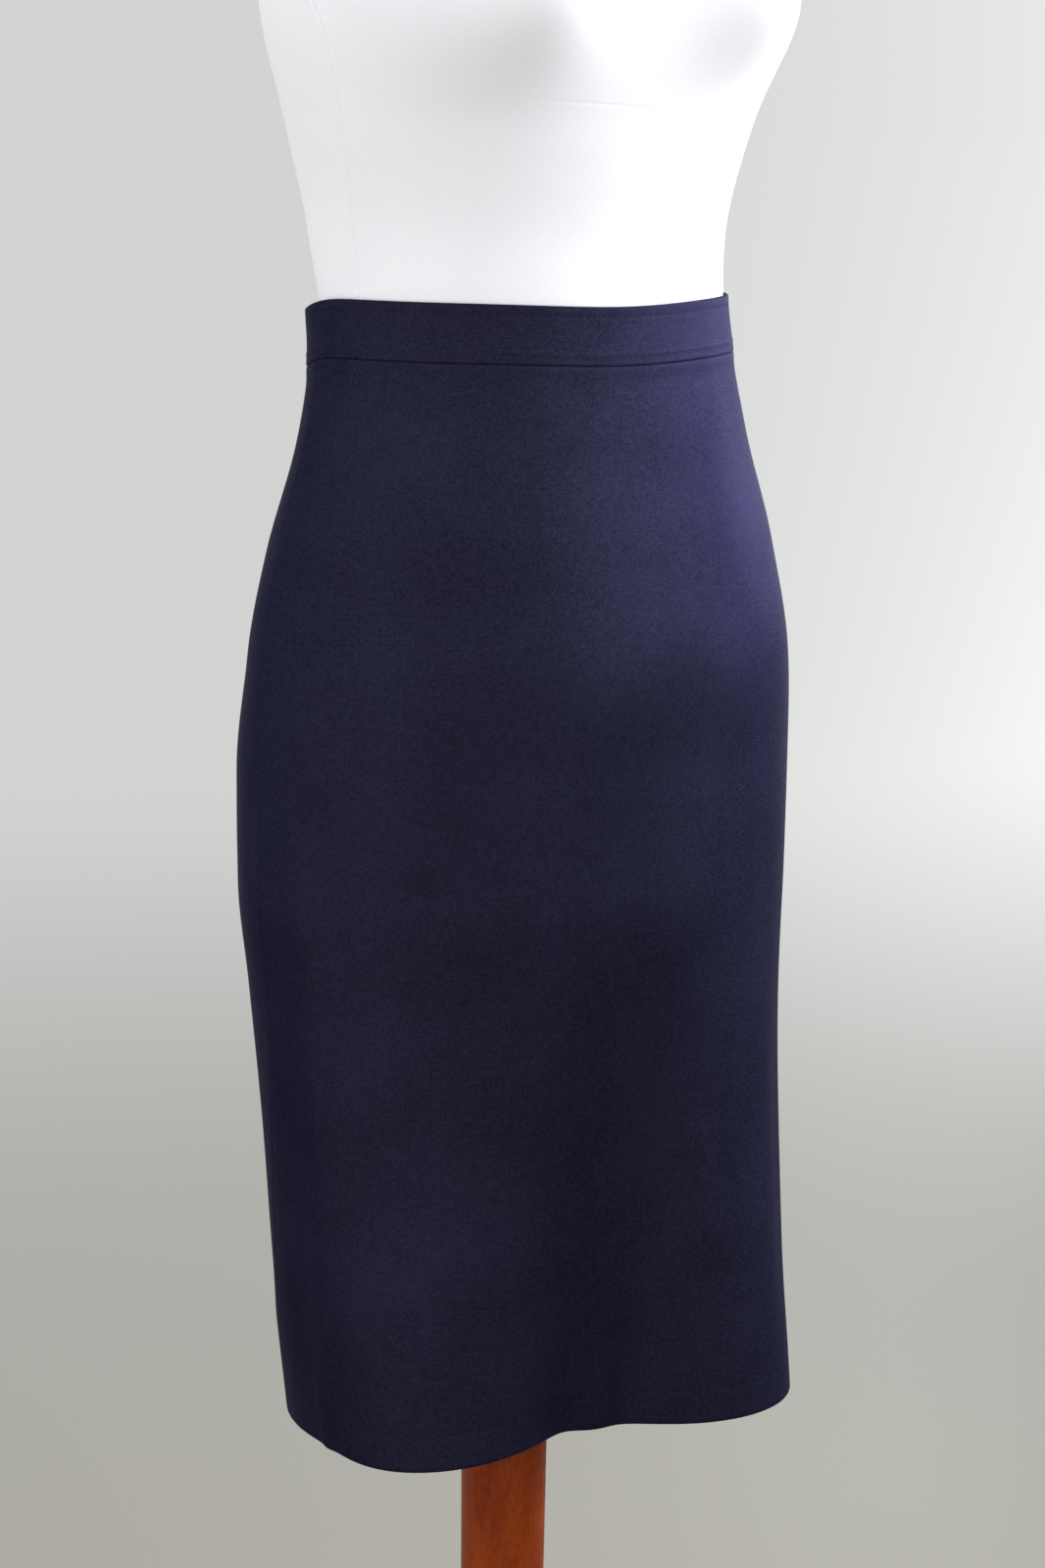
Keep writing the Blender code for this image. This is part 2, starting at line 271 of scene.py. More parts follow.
def ease(angle, height):
    """How far the cloth stands off the form."""
    reach = 0.0
    for row in EASES:
        near = bell(height - row.height, row.half_height)
        reach = reach + row.reach * bell(turn_between(angle, row.angle), row.spread) * near
    return reach


def seam_angles(height):
    """Angles of the left and the right side seam."""
    behind = row_at(SIDE_SEAMS, height).behind
    return -behind, 180.0 + behind


# ---------------------------------------------------------------------------------------------------------
# Fine shape of the cloth
# ---------------------------------------------------------------------------------------------------------

# The hem is turned up inside by this much and blind-stitched just below the turned edge.
HEM_DEPTH = 0.020
HEM_LAYER = 0.0013
HEM_FOLD_STEPS = 4
BLIND_STITCH_BELOW_EDGE = 0.0012
BLIND_STITCH_GROOVE = 0.00009
BLIND_STITCH_HALF_WIDTH = 0.0011

# At a sewn edge the cloth rolls in, and the allowances under it lift a soft ridge beside it.
SEAM_ROLL = 0.00018
SEAM_ROLL_WIDTH = 0.0011
SEAM_RIDGE = 0.00014
SEAM_RIDGE_PLACE = 0.0042
SEAM_RIDGE_HALF_WIDTH = 0.0022
WAIST_ROLL = 0.00013
WAIST_ROLL_WIDTH = 0.0009
WAIST_RIDGE = 0.00065
WAIST_RIDGE_PLACE = 0.0022
WAIST_RIDGE_HALF_WIDTH = 0.0042

# Waistband: the fold at its top, its line of stitches, and the ridge over its seam allowance.
BAND_FOLD_STEPS = 4
BAND_STITCH_BELOW_TOP = 0.0052
BAND_GROOVE = 0.00010
BAND_GROOVE_HALF_WIDTH = 0.0008
BAND_RIDGE_ABOVE_SEAM = 0.0058
BAND_RIDGE = 0.00026
BAND_RIDGE_HALF_WIDTH = 0.0013
BAND_FOOT_ROLL = 0.00020
BAND_FOOT_WIDTH = 0.0009

# Soft creases of the cloth, each a straight line on the cloth between two (angle, height) ends.
Crease = namedtuple("Crease", "name low_angle low_height high_angle high_height spread reach")
CREASES = (
    Crease("right_side_ridge", 171.0, 0.505, 174.0, 0.800, 3.6, 0.0013),
    Crease("right_side_trough", 183.0, 0.455, 181.0, 0.730, 4.2, -0.0016),
    Crease("right_front_short_trough", 164.0, 0.630, 166.0, 0.770, 4.4, -0.0012),
    Crease("right_front_trough", 147.0, 0.500, 151.0, 0.850, 6.0, -0.0017),
    Crease("right_front_ridge", 130.0, 0.570, 126.0, 0.820, 8.0, 0.0016),
    Crease("right_hem_kink", 176.3, 0.425, 177.8, 0.490, 2.2, 0.0016),
    Crease("right_back_hem_corner", 213.0, 0.400, 215.0, 0.530, 10.0, 0.0042),
    Crease("left_front_ridge", 66.0, 0.520, 70.0, 0.620, 4.5, 0.0012),
    Crease("left_front_trough", 38.0, 0.455, 33.0, 0.700, 7.0, -0.0015),
    Crease("left_side_ridge", 8.0, 0.470, 4.0, 0.780, 5.0, 0.0012),
    Crease("left_back_trough", 337.0, 0.450, 343.0, 0.700, 6.0, -0.0016),
    Crease("seat_left_ridge", 300.0, 0.520, 292.0, 0.780, 7.0, 0.0015),
    Crease("seat_trough", 283.0, 0.445, 280.0, 0.720, 6.0, -0.0015),
    Crease("seat_right_ridge", 244.0, 0.500, 250.0, 0.790, 7.0, 0.0014),
    Crease("right_back_trough", 214.0, 0.450, 209.0, 0.690, 6.0, -0.0015),
)
CREASE_FADE = 0.30
# Where the cloth lies on the form it can rise off it but not sink into it.
REST_ON_FORM_ABOVE = 0.745
REST_FADE = 0.020

# Slow unevenness of the cloth, stretched along its length.
Sway = namedtuple("Sway", "reach across_per_metre up_per_metre")
SWAYS = (Sway(0.00045, 16.0, 4.0), Sway(0.00016, 45.0, 14.0))


def crease_reach(angle, height):
    reach = 0.0
    for crease in CREASES:
        along = (height - crease.low_height) / (crease.high_height - crease.low_height)
        if not 0.0 < along < 1.0:
            continue
        centre = crease.low_angle + (crease.high_angle - crease.low_angle) * along
        strength = smoothstep(along / CREASE_FADE) * smoothstep((1.0 - along) / CREASE_FADE)
        reach = reach + crease.reach * strength * bell(turn_between(angle, centre), crease.spread)
    return reach


def sway_reach(points):
    """Slow unevenness at some points of the cloth, from smooth noise."""
    reach = np.zeros(len(points))
    for sway in SWAYS:
        stretch = (sway.across_per_metre, sway.across_per_metre, sway.up_per_metre)
        reach += sway.reach * np.array(
            [noise.noise(Vector((x * stretch[0], y * stretch[1], z * stretch[2]))) for x, y, z in points]
        )
    return reach


def relief(angle, height):
    """How far the fine folds lift the cloth off its plain shape."""
    lift = crease_reach(angle, height) + sway_reach(body_points(angle, height))
    held = smoothstep((height - REST_ON_FORM_ABOVE) / REST_FADE)
    return lift * (1.0 - held) + np.maximum(lift, 0.0) * held


# Rows of points up a panel, closest where its surface turns. Those round a line are measured from that line.
HEM_ROW_STEP = 0.003
HEM_FOLD_TO_ROWS = 0.002
HEM_STITCH_ROWS = (-0.0018, -0.0009, 0.0, 0.0009)
HEM_EDGE_ROWS = (0.0001, 0.0004)
HEM_LAYER_ENDS_ABOVE_EDGE = 0.0002
PANEL_ROW_STEP = 0.0033
PANEL_ROWS_END_BELOW_TOP = 0.014
WAIST_ROWS = (0.011, 0.008, 0.0055, 0.004, 0.0028, 0.0019, 0.0011, 0.0005, 0.0)

# The same up the band.
BAND_FOOT_ROWS = (0.0, 0.0003, 0.0007, 0.0012, 0.0018, 0.0030)
BAND_RIDGE_REACH = 0.0018
BAND_RIDGE_STEP = 0.0006
BAND_ROW_STEP = 0.0025
BAND_ROWS_START_ABOVE_RIDGE = 0.0035
BAND_ROWS_END_BELOW_STITCH = 0.0030
BAND_STITCH_REACH = 0.0015
BAND_STITCH_STEP = 0.0005

# One row of a panel: its height, and how far its outer and its inner face lie outside the gap to the form.
Row = namedtuple("Row", "height outer inner")


def fold_rows(edge_height, outer, inner, up, steps):
    """Rows of a folded edge, from its tip to where the two faces are a whole thickness apart."""
    middle, half = 0.5 * (outer + inner), 0.5 * (outer - inner)
    rows = []
    for step in range(steps + 1):
        turn = 0.5 * math.pi * step / steps
        rows.append(
            Row(
                edge_height + up * half * (1.0 - math.cos(turn)),
                middle + half * math.sin(turn),
                middle - half * math.sin(turn),
            )
        )
    return rows


def stepped(low, high, step):
    """Even values from low up to high, both included, about a step apart."""
    return list(np.linspace(low, high, max(2, round((high - low) / step) + 1)))


def skirt_rows():
    """Rows of both panels, from the folded hem up to the waist seam."""
    rows = fold_rows(HEM_HEIGHT, CLOTH_THICKNESS, -HEM_LAYER, 1.0, HEM_FOLD_STEPS)
    edge = HEM_HEIGHT + HEM_DEPTH
    stitch = edge - BLIND_STITCH_BELOW_EDGE
    heights = stepped(rows[-1].height + HEM_FOLD_TO_ROWS, stitch - HEM_ROW_STEP, HEM_ROW_STEP)
    heights += [stitch + rise for rise in HEM_STITCH_ROWS]
    heights += [edge + rise for rise in HEM_EDGE_ROWS]
    heights += stepped(edge + HEM_ROW_STEP, SKIRT_TOP_HEIGHT - PANEL_ROWS_END_BELOW_TOP, PANEL_ROW_STEP)
    heights += [SKIRT_TOP_HEIGHT - drop for drop in WAIST_ROWS]
    for height in heights:
        outer = CLOTH_THICKNESS
        outer -= BLIND_STITCH_GROOVE * bell(height - stitch, BLIND_STITCH_HALF_WIDTH)
        outer -= WAIST_ROLL * (1.0 - smoothstep((SKIRT_TOP_HEIGHT - height) / WAIST_ROLL_WIDTH))
        outer += WAIST_RIDGE * bell(SKIRT_TOP_HEIGHT - height - WAIST_RIDGE_PLACE, WAIST_RIDGE_HALF_WIDTH)
        in_hem = height < edge + HEM_LAYER_ENDS_ABOVE_EDGE
        rows.append(Row(height, outer, -HEM_LAYER if in_hem else 0.0))
    return rows


def band_rows():
    """Rows of the band, from its seam up to the fold at its top."""
    stitch = WAIST_HEIGHT - BAND_STITCH_BELOW_TOP
    ridge = BAND_SEAM_HEIGHT + BAND_RIDGE_ABOVE_SEAM
    top = fold_rows(WAIST_HEIGHT, BAND_THICKNESS, 0.0, -1.0, BAND_FOLD_STEPS)[::-1]
    heights = [BAND_SEAM_HEIGHT + rise for rise in BAND_FOOT_ROWS]
    heights += stepped(ridge - BAND_RIDGE_REACH, ridge + BAND_RIDGE_REACH, BAND_RIDGE_STEP)
    heights += stepped(
        ridge + BAND_ROWS_START_ABOVE_RIDGE, stitch - BAND_ROWS_END_BELOW_STITCH, BAND_ROW_STEP
    )
    heights += stepped(stitch - BAND_STITCH_REACH, stitch + BAND_STITCH_REACH, BAND_STITCH_STEP)
    heights.append(0.5 * (heights[-1] + top[0].height))
    rows = []
    for height in heights:
        outer = BAND_THICKNESS
        outer -= BAND_FOOT_ROLL * (1.0 - smoothstep((height - BAND_SEAM_HEIGHT) / BAND_FOOT_WIDTH))
        outer += BAND_RIDGE * bell(height - ridge, BAND_RIDGE_HALF_WIDTH)
        outer -= BAND_GROOVE * bell(height - stitch, BAND_GROOVE_HALF_WIDTH)
        rows.append(Row(height, outer, 0.0))
    return rows + top


# Columns of a panel: fine ones this far from its sewn edges, and even ones between.
EDGE_COLUMNS = (0.0, 0.0003, 0.0008, 0.0014, 0.0022, 0.0032, 0.0044, 0.0060)
DENSE_STEPS = 480


def dense_run(start, end, height, count=DENSE_STEPS):
    """Close angles from one end of a run of the ring to the other, and how far along it each lies."""
    dense = np.linspace(start, end, count)
    to_left, to_front = ring(dense, height)
    run = np.concatenate([[0.0], np.cumsum(np.hypot(np.diff(to_left), np.diff(to_front)))])
    return dense, run


def columns_of(start, end, height, step_count):
    """Angles of a panel's columns at one height, distances from its first edge, and its whole length."""
    dense, run = dense_run(start, end, height)
    edge = np.array(EDGE_COLUMNS)
    between = np.linspace(edge[-1], run[-1] - edge[-1], step_count + 1)[1:-1]
    distances = np.concatenate([edge, between, run[-1] - edge[::-1]])
    return np.interp(distances, run, dense), distances, run[-1]


def panel_grids(rows, ends_at, step_count):
    """Outer and inner grid of a panel's points, and its map: metres from its centre and up from the hem."""
    outer, inner, cloth_map = [], [], []
    for row in rows:
        start, end = ends_at(row.height)
        angle, distance, length = columns_of(start, end, row.height, step_count)
        from_edge = np.minimum(distance, length - distance)
        roll = SEAM_ROLL * (1.0 - smoothstep(from_edge / SEAM_ROLL_WIDTH))
        ridge = SEAM_RIDGE * bell(from_edge - SEAM_RIDGE_PLACE, SEAM_RIDGE_HALF_WIDTH)
        base = SEAT_GAP + ease(angle, row.height) + relief(angle, row.height)
        outer.append(body_points(angle, row.height, base + np.maximum(row.outer - roll, row.inner) + ridge))
        inner.append(body_points(angle, row.height, base + row.inner))
        up = np.full(len(angle), row.height - HEM_HEIGHT)
        cloth_map.append(np.stack([distance - 0.5 * length, up], axis=-1))
    return np.array(outer), np.array(inner), np.array(cloth_map)


# ---------------------------------------------------------------------------------------------------------
# Meshes
# ---------------------------------------------------------------------------------------------------------

CLOTH_MAP = "cloth_metres"


def new_piece(name, points, faces, material, point_map=None):
    """A smooth mesh that rides on the part, with a slot. point_map gives each point's place on the cloth."""
    mesh = bpy.data.meshes.new(name)
    mesh.from_pydata(points.tolist(), [], faces)
    mesh.validate()
    mesh.materials.append(material)
    mesh.shade_smooth()
    if point_map is not None:
        corners = np.empty(len(mesh.loops), np.int32)
        mesh.loops.foreach_get("vertex_index", corners)
        layer = mesh.uv_layers.new(name=CLOTH_MAP)
        layer.uv.foreach_set("vector", point_map[corners].astype(np.float32).ravel())
    made = bpy.data.objects.new(name, mesh)
    bpy.context.scene.collection.objects.link(made)
    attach(made, body)
    return made


def grid_cells(first, rows, columns, flip):
    """Quads of a grid of points that starts at a number."""
    cells = []
    for r in range(rows - 1):
        for c in range(columns - 1):
            low, high = first + r * columns + c, first + (r + 1) * columns + c
            cells.append([low, low + 1, high + 1, high] if flip else [low, high, high + 1, low + 1])
    return cells


def shell(name, outer, inner, cloth_map, material):
    """A closed sheet with two faces and four edges, from two grids of points."""
    rows, columns = outer.shape[:2]
    other = rows * columns
    faces = grid_cells(0, rows, columns, False) + grid_cells(other, rows, columns, True)
    top, last = (rows - 1) * columns, columns - 1
    for c in range(last):
        faces.append([c, c + 1, other + c + 1, other + c])
        faces.append([top + c, other + top + c, other + top + c + 1, top + c + 1])
    for r in range(0, top, columns):
        faces.append([r, other + r, other + r + columns, r + columns])
        faces.append([r + last, r + columns + last, other + r + columns + last, other + r + last])
    points = np.concatenate([outer.reshape(-1, 3), inner.reshape(-1, 3)])
    return new_piece(name, points, faces, material, np.tile(cloth_map.reshape(-1, 2), (2, 1)))


WELD_DISTANCE = 0.00001


def welded(piece):
    """Joins the points of a folded edge, where both faces meet."""
    work = bmesh.new()
    work.from_mesh(piece.data)
    bmesh.ops.remove_doubles(work, verts=work.verts, dist=WELD_DISTANCE)
    work.to_mesh(piece.data)
    work.free()
    return piece


def closed_rings(name, rings, material):
    """A solid skinned over closed rings from the bottom up, with a flat face at each end."""
    rings = np.array(rings)
    count = rings.shape[1]
    top = (len(rings) - 1) * count
    faces = [list(range(count)), list(range(top, top + count))[::-1]]
    for low in range(0, top, count):
        for i in range(count):
            j = (i + 1) % count
            faces.append([low + i, low + count + i, low + count + j, low + j])
    return new_piece(name, rings.reshape(-1, 3), faces, material)


# ---------------------------------------------------------------------------------------------------------
# Materials
# ---------------------------------------------------------------------------------------------------------


class Nodes:
    """A node tree, with a short way to add nodes, sums and soft steps to it."""

    def __init__(self, tree):
        self.tree = tree

    def add(self, kind, inputs=(), **settings):
        """A new node. inputs gives a value or a socket for some of its inputs, by name or number."""
        made = self.tree.nodes.new(kind)
        for setting, value in settings.items():
            setattr(made, setting, value)
        for key, value in dict(inputs).items():
            self.put(made.inputs[key], value)
        return made

    def put(self, socket, value):
        if isinstance(value, bpy.types.NodeSocket):
            self.tree.links.new(value, socket)
        else:
            socket.default_value = value

    def sum(self, operation, *values):
        made = self.add("ShaderNodeMath", operation=operation)
        for socket, value in zip(made.inputs, values):
            self.put(socket, value)
        return made.outputs[0]

    def soft_step(self, value, step, height=1.0):
        """A soft rise from 0 to a height, over the two ends of a step."""
        inputs = {"Value": value, "From Min": step[0], "From Max": step[1], "To Max": height}
        return self.add("ShaderNodeMapRange", inputs, interpolation_type="SMOOTHSTEP").outputs[0]


class Finish(Nodes):
    """One material's node tree."""

    def __init__(self, name):
        self.material = bpy.data.materials.new(name)
        self.material.use_nodes = True
        super().__init__(self.material.node_tree)
        self.shader = self.tree.nodes["Principled BSDF"]

    def set(self, **inputs):
        """Values or sockets of the shader, by input name with _ for a space."""
        for key, value in inputs.items():
            self.put(self.shader.inputs[key.replace("_", " ")], value)
        return self


# Knit: the width of a column of stitches (a wale) and the height of a row of them (a course).
WALE_WIDTH = 0.00130
COURSE_HEIGHT = 0.00105
STITCH_LEAN = 1.1
# Features of the nap and of the slow clouding, per metre.
NAP_SCALE = 1500.0
CLOUD_SCALE = 14.0
STITCH_DEPTH = 0.00022
NAVY = (0.0150, 0.0147, 0.0318)
# Smooth yarn throws light back in its own colour and without the white edge of a varnish, so this share of
# the shading is the coloured gloss that the shader calls metallic.
YARN_GLOSS = 0.7
EDGE_TINT = (0.47, 0.465, 0.53, 1.0)
# Each loop has its own height: at least this share, and up to this spread more.
LOOP_SPREAD = 0.35
LOOP_LEAST = 0.75
# How much each pattern lightens or darkens the knit, and the middle of a share that runs from 0 to 1.
# The stitch pattern is painted shade in the hollows between the loops and painted light on their tops.
STITCH_SHADE_SHARE = 0.28
STITCH_MIDDLE = 0.55
YARN_SHARE = 0.18
NAP_SHARE = 0.62
CLOUD_SHARE = 0.30
MIDDLE = 0.5
# Shares of the knit's own colour at the two ends of its tone.
DARKEST = 0.15
LIGHTEST = 1.85
NAP_HEIGHT = 0.5
# The band's loops, against those of the skirt.
BAND_WALE_SHARE = 1.06
BAND_COURSE_SHARE = 0.95

# White stretch cover, at the two ends of its tone.
COVER_DARKER = (0.74, 0.715, 0.765, 1.0)
COVER_LIGHTER = (0.86, 0.835, 0.875, 1.0)
COVER_SHEEN_TINT = (0.95, 0.93, 1.0, 1.0)
COVER_FINE_SCALE = 700.0
COVER_SLOW_SCALE = 12.0
COVER_BUMP = 0.00012

# Stained wood: its colours from dark to light, each at a share of the grain's tone.
WOOD_DARK = (0.34, (0.130, 0.016, 0.001, 1.0))
WOOD_MIDDLE = (0.48, (0.205, 0.029, 0.002, 1.0))
WOOD_LIGHT = (0.66, (0.270, 0.043, 0.003, 1.0))
WOOD_STRETCH = 0.30
WOOD_COARSE_SCALE = 60.0
WOOD_COARSE_SHARE = 0.60
WOOD_FINE_SCALE = 560.0
WOOD_FINE_SHARE = 0.40
WOOD_BUMP = 0.0002


def mixed(finish, factor, low, high):
    """A colour between two, by a factor."""
    made = finish.add("ShaderNodeMix", data_type="RGBA")
    for socket, value in zip((made.inputs[0], made.inputs[6], made.inputs[7]), (factor, low, high)):
        finish.put(socket, value)
    return made.outputs[2]


def shade(colour, share):
    """A share of a colour, as a socket takes it."""
    return (*(channel * share for channel in colour), 1.0)


def knit(name, wale, course, colour=NAVY):
    """Double knit: leaning loops in columns, each of its own tone, under a soft uneven nap. Painted shade
    darkens the hollows between the loops, and painted light lightens their tops.
    """
    finish = Finish(name)
    cloth_place = finish.add("ShaderNodeUVMap", uv_map=CLOTH_MAP).outputs[0]
    place = finish.add("ShaderNodeSeparateXYZ", {0: cloth_place})
    along, up = place.outputs[0], place.outputs[1]
    in_wales = finish.sum("DIVIDE", along, wale)
    from_middle = finish.sum("ABSOLUTE", finish.sum("SUBTRACT", finish.sum("FRACT", in_wales), MIDDLE))
    in_courses = finish.sum(
        "ADD", finish.sum("DIVIDE", up, course), finish.sum("MULTIPLY", from_middle, STITCH_LEAN)
    )
    leg = finish.sum("SINE", finish.sum("MULTIPLY", from_middle, 2.0 * math.pi))
    loop = finish.sum("SINE", finish.sum("MULTIPLY", finish.sum("FRACT", in_courses), math.pi))
    cell = finish.add(
        "ShaderNodeCombineXYZ", {0: finish.sum("FLOOR", in_wales), 1: finish.sum("FLOOR", in_courses)}
    )
    yarn = finish.add("ShaderNodeTexWhiteNoise", {0: cell.outputs[0]}, noise_dimensions="2D").outputs[0]
    stitch = finish.sum("SQRT", finish.sum("MULTIPLY", leg, loop))
    stitch = finish.sum("MULTIPLY", stitch, finish.sum("MULTIPLY_ADD", yarn, LOOP_SPREAD, LOOP_LEAST))

    flat = finish.add("ShaderNodeCombineXYZ", {0: along, 1: up}).outputs[0]
    nap_inputs = {0: flat, "Scale": NAP_SCALE, "Detail": 2.0}
    nap = finish.add("ShaderNodeTexNoise", nap_inputs, noise_dimensions="2D").outputs[0]
    cloud_inputs = {0: flat, "Scale": CLOUD_SCALE, "Detail": 3.0}
    cloud = finish.add("ShaderNodeTexNoise", cloud_inputs, noise_dimensions="2D").outputs[0]

    patterns = (
        # painted shade between the loops and painted light on their tops
        (stitch, STITCH_MIDDLE, STITCH_SHADE_SHARE),
        (yarn, MIDDLE, YARN_SHARE),
        (nap, MIDDLE, NAP_SHARE),
        (cloud, MIDDLE, CLOUD_SHARE),
    )
    tone = MIDDLE
    for source, middle, share in patterns:
        tone = finish.sum("MULTIPLY_ADD", finish.sum("SUBTRACT", source, middle), share, tone)
    base = mixed(finish, tone, shade(colour, DARKEST), shade(colour, LIGHTEST))

    relief_height = finish.sum("ADD", stitch, finish.sum("MULTIPLY", nap, NAP_HEIGHT))
    bump = finish.add("ShaderNodeBump", {"Strength": 0.4, "Distance": STITCH_DEPTH, "Height": relief_height})
    finish.set(
        Base_Color=base,
        Metallic=YARN_GLOSS,
        Roughness=0.41,
        Specular_IOR_Level=0.0,
        Specular_Tint=EDGE_TINT,
        Normal=bump.outputs[0],
    )
    return finish.material


def jersey_cover():
    """White stretch cover: very fine jersey with a faint unevenness."""
    finish = Finish("white_stretch_cover")
    place = finish.add("ShaderNodeTexCoord").outputs["Object"]
    fine = finish.add("ShaderNodeTexNoise", {0: place, "Scale": COVER_FINE_SCALE, "Detail": 2.0}).outputs[0]
    slow = finish.add("ShaderNodeTexNoise", {0: place, "Scale": COVER_SLOW_SCALE, "Detail": 2.0}).outputs[0]
    tone = finish.sum("ADD", finish.sum("MULTIPLY", fine, 0.5), finish.sum("MULTIPLY", slow, 0.5))
    base = mixed(finish, tone, COVER_DARKER, COVER_LIGHTER)
    bump = finish.add("ShaderNodeBump", {"Strength": 0.35, "Distance": COVER_BUMP, "Height": fine})
    finish.set(
        Base_Color=base,
        Roughness=0.72,
        Specular_IOR_Level=0.30,
        Sheen_Weight=0.15,
        Sheen_Roughness=0.5,
        Sheen_Tint=COVER_SHEEN_TINT,
        Normal=bump.outputs[0],
    )
    return finish.material


def stained_wood(name, grain_axis):
    """Cherry-red stain over close mottled grain, under satin varnish. The grain runs along one axis."""
    finish = Finish(name)
    place = finish.add("ShaderNodeTexCoord").outputs["Object"]
    stretch = [1.0, 1.0, 1.0]
    stretch[grain_axis] = WOOD_STRETCH
    grain_place = finish.add("ShaderNodeMapping", {0: place, "Scale": stretch}).outputs[0]
    coarse = finish.add("ShaderNodeTexNoise", {0: grain_place, "Scale": WOOD_COARSE_SCALE, "Detail": 3.0})
    fine = finish.add("ShaderNodeTexNoise", {0: grain_place, "Scale": WOOD_FINE_SCALE, "Detail": 2.0})
    fine_tone = finish.sum("MULTIPLY", fine.outputs[0], WOOD_FINE_SHARE)
    tone = finish.sum("MULTIPLY_ADD", coarse.outputs[0], WOOD_COARSE_SHARE, fine_tone)
    ramp = finish.add("ShaderNodeValToRGB", {0: tone})
    stops = ramp.color_ramp.elements
    stops[0].position, stops[0].color = WOOD_DARK
    stops[1].position, stops[1].color = WOOD_LIGHT
    middle = stops.new(WOOD_MIDDLE[0])
    middle.color = WOOD_MIDDLE[1]
    bump = finish.add("ShaderNodeBump", {"Strength": 0.3, "Distance": WOOD_BUMP, "Height": fine.outputs[0]})
    finish.set(
        Base_Color=ramp.outputs[0],
        Roughness=0.45,
        Specular_IOR_Level=0.10,
        Coat_Weight=0.05,
        Coat_Roughness=0.25,
        Normal=bump.outputs[0],
    )
    return finish.material


# ---------------------------------------------------------------------------------------------------------
# Camera, light and stage
# ---------------------------------------------------------------------------------------------------------

# The camera stands in front of the wearer's right side, and looks a little down.
CAMERA_AZIMUTH = -40.0
CAMERA_DISTANCE = 2.40
CAMERA_HEIGHT = 1.17
CAMERA_PITCH = 9.13
CAMERA_ROLL = 0.80
CAMERA_YAW = 0.125
CAMERA_LENS_MM = 101.88
CAMERA_REACH = (0.05, 200.0)
SENSOR_MM = 36.0


def make_camera():
    azimuth = math.radians(CAMERA_AZIMUTH)
    to_left = math.sin(azimuth) * CAMERA_DISTANCE
    place = Vector((to_left, -math.cos(azimuth) * CAMERA_DISTANCE, CAMERA_HEIGHT))
    ahead = Vector((-math.sin(azimuth), math.cos(azimuth), 0.0))
    ahead.rotate(Matrix.Rotation(math.radians(-CAMERA_YAW), 3, "Z"))
    right = Vector((ahead.y, -ahead.x, 0.0))
    up = Vector((0.0, 0.0, 1.0))
    pitch, roll = math.radians(CAMERA_PITCH), math.radians(CAMERA_ROLL)
    look = ahead * math.cos(pitch) - up * math.sin(pitch)
    top = up * math.cos(pitch) + ahead * math.sin(pitch)
    across = right * math.cos(roll) + top * math.sin(roll)
    top = top * math.cos(roll) - right * math.sin(roll)
    data = bpy.data.cameras.new("camera")
    data.sensor_fit = "AUTO"
    data.sensor_width = SENSOR_MM
    data.lens = CAMERA_LENS_MM
    data.clip_start, data.clip_end = CAMERA_REACH
    camera = bpy.data.objects.new("camera", data)
    turn = Matrix((across, top, -look)).transposed().to_4x4()
    camera.matrix_world = Matrix.Translation(place) @ turn
    bpy.context.scene.collection.objects.link(camera)
    bpy.context.scene.camera = camera


# The room gives an even pale light, a little stronger in front and weaker from the wall beyond the object. A
# side is a pair of cosines to that direction, and the change comes in softly between them.
ROOM_COLOUR = (0.985, 1.0, 0.985)
ROOM_STRENGTH = 1.27
FRONT_AZIMUTH = CAMERA_AZIMUTH - 10.0
FRONT_FILL = 0.17
FRONT_SIDE = (0.20, 1.0)
WALL_AZIMUTH = CAMERA_AZIMUTH + 195.0
WALL_DIMMING = -0.62
WALL_SIDE = (0.82, 0.985)

# The window, at one side of the object, lit by the sky.
WINDOW_COLOUR = (0.94, 0.98, 1.0)
WINDOW_AZIMUTH = 79.0
WINDOW_DISTANCE = 1.75
WINDOW_SILL_HEIGHT = 0.86
WINDOW_TOP_HEIGHT = 2.40
WINDOW_WIDTH = 2.05
WINDOW_RADIANCE = 9.4


def level_direction(azimuth):
    """Level unit direction, where 0 is the front of the skirt and 90 the wearer's left."""
    return (math.sin(math.radians(azimuth)), -math.cos(math.radians(azimuth)), 0.0)


def dot(nodes, first, second):
    return nodes.add("ShaderNodeVectorMath", {0: first, 1: second}, operation="DOT_PRODUCT").outputs["Value"]


def room_strength(nodes, direction):
    """Socket with the strength of the room's light, for a socket of directions."""
    fill = nodes.soft_step(dot(nodes, direction, level_direction(FRONT_AZIMUTH)), FRONT_SIDE, FRONT_FILL)
    dimming = nodes.soft_step(dot(nodes, direction, level_direction(WALL_AZIMUTH)), WALL_SIDE, WALL_DIMMING)
    return nodes.sum("ADD", nodes.sum("ADD", fill, dimming), ROOM_STRENGTH)


def make_world():
    world = bpy.data.worlds.new("pale_room")
    world.use_nodes = True
    nodes = Nodes(world.node_tree)
    background = nodes.tree.nodes["Background"]
    background.inputs[0].default_value = (*ROOM_COLOUR, 1.0)
    direction = nodes.add("ShaderNodeTexCoord").outputs["Generated"]
    nodes.put(background.inputs[1], room_strength(nodes, direction))
    bpy.context.scene.world = world


def make_window():
    """A window upright beside the object and turned to it, whose light falls off with distance."""
    tall = WINDOW_TOP_HEIGHT - WINDOW_SILL_HEIGHT
    data = bpy.data.lights.new("window", "AREA")
    data.shape = "RECTANGLE"
    data.size, data.size_y = WINDOW_WIDTH, tall
    data.color = WINDOW_COLOUR
    data.energy = WINDOW_RADIANCE * math.pi * WINDOW_WIDTH * tall
    window = bpy.data.objects.new("window", data)
    outward_side = Vector(level_direction(WINDOW_AZIMUTH))
    up = Vector((0.0, 0.0, 1.0))
    turn = Matrix((up.cross(outward_side), up, outward_side)).transposed().to_4x4()
    middle = outward_side * WINDOW_DISTANCE + up * (WINDOW_SILL_HEIGHT + 0.5 * tall)
    window.matrix_world = Matrix.Translation(middle) @ turn
    bpy.context.scene.collection.objects.link(window)


